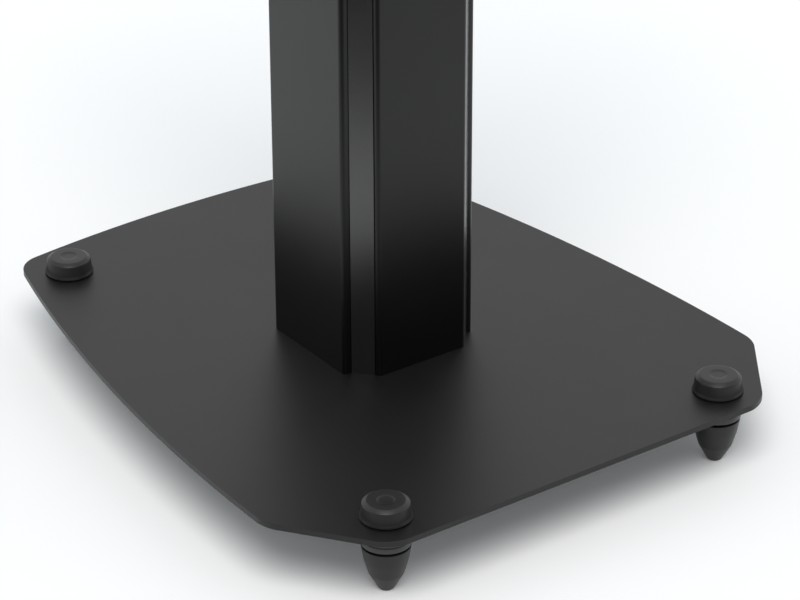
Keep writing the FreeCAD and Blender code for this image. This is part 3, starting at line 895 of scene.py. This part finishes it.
def make_cap(bm, sizes):
    """A rubber cap: flared lip, tapered wall, soft shoulder and a dished top."""
    top = BASE_TOP + sizes.cap_height
    roof = top - sizes.cap_roof
    dish = top - sizes.cap_dimple_depth
    cavity = sizes.nut_flats / math.sqrt(3) + 3.5 * TENTH
    lip, flare = BASE_TOP + sizes.cap_lip * 0.6, BASE_TOP + sizes.cap_lip * 1.9
    lathe(bm, [
        (0.0, roof, 0),
        (cavity, roof, 4),
        (cavity, BASE_TOP, 3),
        (sizes.cap - sizes.cap_undercut, BASE_TOP, 1),
        (sizes.cap, lip, 3),
        (sizes.cap_foot, flare, 30),
        (sizes.cap_shoulder, BASE_TOP + sizes.cap_shoulder_level, 9),
        (sizes.cap_top, top, 9),
        (sizes.cap_dimple, top, 30),
        (sizes.cap_dimple - 10 * TENTH, dish, 30),
        (0.0, dish, 0),
    ], sizes.steps)


def make_pad(bm, sizes):
    """A low rubber pad with a rounded rim and a shallow dish."""
    top = TOP_PLATE_TOP + sizes.pad_height
    dish = top - 2 * TENTH
    dish_rim, dish_floor = sizes.pad * 0.62, sizes.pad * 0.5
    lathe(bm, [
        (0.0, TOP_PLATE_TOP, 0),
        (sizes.pad, TOP_PLATE_TOP, 1),
        (sizes.pad, top, 7),
        (dish_rim, top, 10),
        (dish_floor, dish, 10),
        (0.0, dish, 0),
    ], sizes.steps)


# --- the studio

def studio_rays(tree):
    """Whether a ray is a reflection, and whether it is seen, reflected or seen through."""
    rays = add_node(tree, "ShaderNodeLightPath").outputs
    seen = larger(tree, rays["Is Camera Ray"], rays["Is Glossy Ray"])
    return rays["Is Glossy Ray"], larger(tree, seen, rays["Is Transmission Ray"])


def towards_camera(tree, vector, turn):
    """How far a vector reaches along the floor towards the camera's side of the room."""
    parts = split(tree, vector)
    return plus(tree, times(tree, parts["X"], math.sin(turn)), times(tree, parts["Y"], -math.cos(turn)))


def make_floor(studio):
    """A pale floor, lifted where it is seen, with painted shade in its reflection: past a line towards the
    camera, reflected rays see it in a dark unlit colour.
    """
    bm = bmesh.new()
    bmesh.ops.create_grid(bm, x_segments=1, y_segments=1, size=studio.floor_size / 2)
    floor = new_object("studio_floor", new_mesh("studio_floor", bm))
    finish = Finish("pale_floor", studio.floor, rough=0.85, shine=0.1)
    tree = finish.tree
    mirrored, seen = studio_rays(tree)
    nearer = towards_camera(tree, finish.place, studio.turn)
    edge, blur = studio.painted_shade_edge, studio.painted_shade_blur
    # painted shade: in reflections the floor's colour turns to the dark unlit colour past this edge
    # towards the camera
    past = map_range(tree, nearer, (edge - blur, edge + blur), way="SMOOTHSTEP")
    dark = times(tree, past, mirrored)
    finish.wire({"Base Color": mix_colour(tree, dark, finish.colour, UNLIT_FLOOR)})
    lift = map_range(tree, nearer, (0.0, -1.0), (studio.floor_lift, studio.floor_lift + studio.far_lift))
    lift = times(tree, seen, lift)
    lift = times(tree, lift, minus(tree, 1.0, dark))
    glow = add_node(tree, "ShaderNodeEmission", {"Strength": lift})
    both = add_node(tree, "ShaderNodeAddShader", {0: finish.shader.outputs[0], 1: glow.outputs[0]})
    tree.links.new(both.outputs[0], tree.nodes["Material Output"].inputs["Surface"])
    floor.data.materials.append(finish.material)


def make_backdrop(scene, studio):
    """A white world, softer as light, whose reflection darkens behind the camera."""
    world = bpy.data.worlds.new("studio_backdrop")
    world.use_nodes = True
    scene.world = world
    tree = world.node_tree
    mirrored, seen = studio_rays(tree)
    ways = add_node(tree, "ShaderNodeTexCoord").outputs["Generated"]
    behind = map_range(tree, towards_camera(tree, ways, studio.turn), (-0.1, 0.5), way="SMOOTHSTEP")
    loss = times(tree, behind, studio.dark_side)
    kept = minus(tree, 1.0, times(tree, loss, mirrored))
    strength = map_range(tree, seen, target=(studio.sky_light, 1.0))
    back = tree.nodes["Background"].inputs
    feed(tree, back["Strength"], times(tree, strength, kept))
    feed(tree, back["Color"], mix_colour(tree, seen, tuple(studio.sky) + (1.0,), WHITE))


def make_lamp(studio):
    light = bpy.data.lights.new("soft_lamp", "AREA")
    light.shape = "DISK"
    light.size = studio.lamp_size
    light.energy = studio.lamp_power
    light.color = tuple(studio.lamp_tone)
    lamp = new_object("soft_lamp", light)
    lamp.location = studio.lamp_place
    away = lamp.location - Vector(studio.lamp_aim)
    lamp.rotation_euler = away.to_track_quat("Z", "Y").to_euler()


def make_camera(scene, studio):
    """A long lens at the photograph's view, three-quarter from the front left and above."""
    data = bpy.data.cameras.new("studio_camera")
    data.lens = studio.lens
    data.sensor_width = studio.sensor
    data.clip_start = 0.01
    data.clip_end = 100.0
    scene.camera = new_object("studio_camera", data)
    turn = (Matrix.Rotation(studio.turn, 4, "Z")
            @ Matrix.Rotation(math.pi / 2 - studio.rise, 4, "X")
            @ Matrix.Rotation(studio.roll, 4, "Z"))
    scene.camera.matrix_world = Matrix.Translation(studio.camera_place) @ turn


# --- operators

class STAND_OT_finishes(Operator):
    """Makes the shared shader groups and the stand's finishes"""
    bl_idname = "stand.finishes"
    bl_label = "Make Finishes"

    def execute(self, context):
        coat_grain_group()
        tone_drift_group()
        settled_dust_group()
        turning_lines_group()
        tones = context.scene.stand_finishes
        grain, height = tones.grain, tones.grain_height
        # each skin's grain, its height and strength, then patches, drift, spread and dust
        for name, key, more, values in (
                ("satin_plate_coat", "plate", {},
                 (grain, height, 1.0, 8.0, 0.07, 0.06, tones.dust)),
                ("smooth_panel_coat", "panel", {},
                 (grain * 2, height * 0.3, 1.0, 8.0, 0.05, 0.06, 0.0)),
                ("textured_core_coat", "core", {"index": tones.core_index},
                 (grain * 0.9, height * 2, 1.0, 8.0, 0.1, 0.06, 0.0)),
                ("moulded_rubber", "rubber", {},
                 (4 * TENTH, TENTH / 10, 0.6, 60.0, 0.2, 0.08, 0.02))):
            finish = Finish(name, getattr(tones, key), getattr(tones, key + "_rough"),
                            getattr(tones, key + "_shine"), **more)
            grained_skin(finish, *values)
        for name, key, metallic, lines in (
                ("blackened_collar_steel", "collar", 0.0, TURNING_LINES),
                ("zinc_spike_steel", "spike", 1.0, FINE_TURNING_LINES),
                ("black_oxide_steel", "screw", 1.0, TURNING_LINES)):
            finish = Finish(name, getattr(tones, key), getattr(tones, key + "_rough"), metallic=metallic)
            turned_steel(finish, lines)
        return {"FINISHED"}


class STAND_OT_base_plate(Operator):
    """Builds the bowed base plate with its holes for the feet and screws"""
    bl_idname = "stand.base_plate"
    bl_label = "Build Base Plate"

    def execute(self, context):
        screws = context.scene.stand_screws
        feet = context.scene.stand_feet
        holes = [(place, screws.hole) for place in screw_places()]
        holes += [(middle_of("foot_cap_" + corner), feet.neck + feet.gap / 2) for corner in CORNERS]
        bm = bmesh.new()
        make_plate(bm, context.scene.stand_plates, 1.0, [BASE_TOP - BASE_BOTTOM], holes)
        placed(bm, UP * BASE_BOTTOM)
        finish_piece(bm, "base_sheet", "stand", "base_plate", "plate_coat", even=True)
        return {"FINISHED"}


class STAND_OT_top_plate(Operator):
    """Builds the top plate with countersunk holes and holes for the loudspeaker"""
    bl_idname = "stand.top_plate"
    bl_label = "Build Top Plate"

    def execute(self, context):
        sizes = context.scene.stand_plates
        screws = context.scene.stand_screws
        thickness = TOP_PLATE_TOP - COLUMN_TOP
        places = [place - COLUMN_MIDDLE for place in screw_places()]
        holes = [(place, screws.hole) for place in places]
        holes += [(Vector((x * sizes.speaker_across / 2, y * sizes.speaker_back / 2, 0.0)),
                   sizes.speaker_hole) for x in (-1, 1) for y in (-1, 1)]
        bm = bmesh.new()
        make_plate(bm, sizes, sizes.top_share, [thickness - screws.sunk_depth, screws.sunk_depth], holes)
        share = (screws.sunk_head + screws.hole - screws.shank) / screws.hole
        for place in places:
            bmesh.ops.scale(bm, verts=ring_at(bm, screws.hole, thickness, place),
                            vec=(share, share, 1.0), space=Matrix.Translation(-place))
        placed(bm, COLUMN_MIDDLE + UP * COLUMN_TOP)
        finish_piece(bm, "top_sheet", "stand", "top_plate", "plate_coat", even=True)
        return {"FINISHED"}


class STAND_OT_column(Operator):
    """Dresses the extruded core and builds the four face panels"""
    bl_idname = "stand.column"
    bl_label = "Build Column"

    def execute(self, context):
        sizes = context.scene.stand_columns
        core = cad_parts["column_core"]
        core.data.materials.clear()
        core.data.materials.append(get_finish("textured_core_coat"))
        side = (COLUMN_DEPTH / 2 - sizes.side_leg, COLUMN_WIDTH / 2)
        front = (COLUMN_WIDTH / 2 - sizes.front_leg, COLUMN_DEPTH / 2)
        for name, turn, (half_span, half_across) in (
                ("right", 0.0, side), ("rear", math.pi / 2, front),
                ("left", math.pi, side), ("front", -math.pi / 2, front)):
            bm = make_face_panel(turn, half_span, half_across, sizes)
            piece = finish_piece(bm, name + "_face", "stand", name + "_panel", "panel_coat", even=True)
            if name == "rear":
                cut_outlets(piece, sizes)
        return {"FINISHED"}


class STAND_OT_grommets(Operator):
    """Builds the two rubber grommets of the cable outlets"""
    bl_idname = "stand.grommets"
    bl_label = "Build Grommets"

    def execute(self, context):
        for node in GROMMETS:
            bm = bmesh.new()
            make_grommet(bm, middle_level(node), context.scene.stand_columns)
            finish_piece(bm, node + "_ring", "stand", node, "rubber")
        return {"FINISHED"}


class STAND_OT_screws(Operator):
    """Builds the base screws, their washers and the countersunk top screws"""
    bl_idname = "stand.screws"
    bl_label = "Build Screws"

    def execute(self, context):
        sizes = context.scene.stand_screws
        mouth = sizes.key * KEY_MOUTH
        seat = BASE_BOTTOM - sizes.washer_height
        head_low = seat - sizes.head_height
        end = level_of("base_screws", 1)
        top_end = level_of("top_screws", 0)
        sunk = TOP_PLATE_TOP - sizes.sunk_depth
        base_screw = [(mouth, head_low, 0), (sizes.crown, head_low, 9),
                      (sizes.head, seat - sizes.rim, 7), (sizes.head, seat, 1),
                      (sizes.shank, seat, 2), (sizes.shank, end, 4), (0.0, end, 0)]
        washer = [(sizes.hole, seat, 1), (sizes.washer, seat, 2),
                  (sizes.washer, BASE_BOTTOM, 1), (sizes.hole, BASE_BOTTOM, 1)]
        top_screw = [(mouth, TOP_PLATE_TOP, 0), (sizes.sunk_head, TOP_PLATE_TOP, 0.8),
                     (sizes.shank, sunk, 2), (sizes.shank, top_end, 4), (0.0, top_end, 0)]
        places = screw_places()
        for node, outline, rise in (("base_screws", base_screw, sizes.key_depth),
                                    ("base_washers", washer, None),
                                    ("top_screws", top_screw, -sizes.key_depth)):
            whole = bmesh.new()
            for place in places:
                one = bmesh.new()
                lathe(one, outline, SCREW_STEPS, closed=rise is None)
                if rise is not None:
                    key_socket(one, ring_at(one, mouth, outline[0][1]), sizes.key, rise)
                add_to(whole, one, place)
            finish_piece(whole, node + "_set", "stand", node, "screw_steel", places)
        return {"FINISHED"}


class STAND_OT_feet(Operator):
    """Builds the four feet: nut, collar, spike, boot and cap"""
    bl_idname = "stand.feet"
    bl_label = "Build Feet"

    def execute(self, context):
        sizes = context.scene.stand_feet
        centres = [middle_of("foot_cap_" + corner) for corner in CORNERS]
        nuts = bmesh.new()
        for corner, place in zip(CORNERS, centres):
            one = bmesh.new()
            make_nut(one, sizes)
            add_to(nuts, one, place)
            for make, label, body, slot in (
                    (make_collar, "collar", "stand", "collar_steel"),
                    (make_spike, "spike", "spike_" + corner, "spike_steel"),
                    (make_boot, "boot", "foot_" + corner, "rubber"),
                    (make_cap, "cap", "cap_" + corner, "rubber")):
                bm = bmesh.new()
                make(bm, sizes)
                placed(bm, place)
                finish_piece(bm, corner + "_" + label, body, "foot_" + label + "_" + corner, slot, [place])
        finish_piece(nuts, "foot_nuts_set", "stand", "foot_nuts", "screw_steel", centres)
        return {"FINISHED"}


class STAND_OT_pads(Operator):
    """Builds the four rubber pads on the top plate"""
    bl_idname = "stand.pads"
    bl_label = "Build Pads"

    def execute(self, context):
        for corner in CORNERS:
            bm = bmesh.new()
            make_pad(bm, context.scene.stand_feet)
            placed(bm, middle_of("top_pad_" + corner))
            finish_piece(bm, corner + "_pad", "stand", "top_pad_" + corner, "rubber")
        return {"FINISHED"}


class STAND_OT_studio(Operator):
    """Sets up the pale floor, the backdrop, the soft light and the camera"""
    bl_idname = "stand.studio"
    bl_label = "Set Up Studio"

    def execute(self, context):
        scene = context.scene
        studio = scene.stand_studio
        scene.view_settings.view_transform = "Standard"
        make_floor(studio)
        make_backdrop(scene, studio)
        make_lamp(studio)
        make_camera(scene, studio)
        return {"FINISHED"}


OPERATORS = (
    STAND_OT_finishes,
    STAND_OT_base_plate,
    STAND_OT_column,
    STAND_OT_grommets,
    STAND_OT_top_plate,
    STAND_OT_screws,
    STAND_OT_feet,
    STAND_OT_pads,
    STAND_OT_studio,
)
SETTINGS = {
    "stand_plates": StandPlateSizes,
    "stand_columns": StandColumnSizes,
    "stand_screws": StandScrewSizes,
    "stand_feet": StandFootSizes,
    "stand_finishes": StandFinishes,
    "stand_studio": StandStudio,
}


class STAND_PT_panel(Panel):
    """Lists the stand's sizes, finishes and build steps"""
    bl_label = "Speaker Stand"
    bl_idname = "STAND_PT_panel"
    bl_space_type = "VIEW_3D"
    bl_region_type = "UI"
    bl_category = "Speaker Stand"

    def draw(self, context):
        for operator in OPERATORS:
            self.layout.operator(operator.bl_idname)
        for name in SETTINGS:
            settings = getattr(context.scene, name)
            box = self.layout.box()
            for key in settings.__annotations__:
                box.prop(settings, key)


def register():
    for name, settings in SETTINGS.items():
        bpy.utils.register_class(settings)
        setattr(bpy.types.Scene, name, PointerProperty(type=settings))
    for operator in OPERATORS:
        bpy.utils.register_class(operator)
    bpy.utils.register_class(STAND_PT_panel)


def unregister():
    bpy.utils.unregister_class(STAND_PT_panel)
    for operator in reversed(OPERATORS):
        bpy.utils.unregister_class(operator)
    for name, settings in SETTINGS.items():
        delattr(bpy.types.Scene, name)
        bpy.utils.unregister_class(settings)


def main():
    register()
    for operator in OPERATORS:
        getattr(bpy.ops.stand, operator.bl_idname.split(".")[1])()


if __name__ == "__main__":
    main()
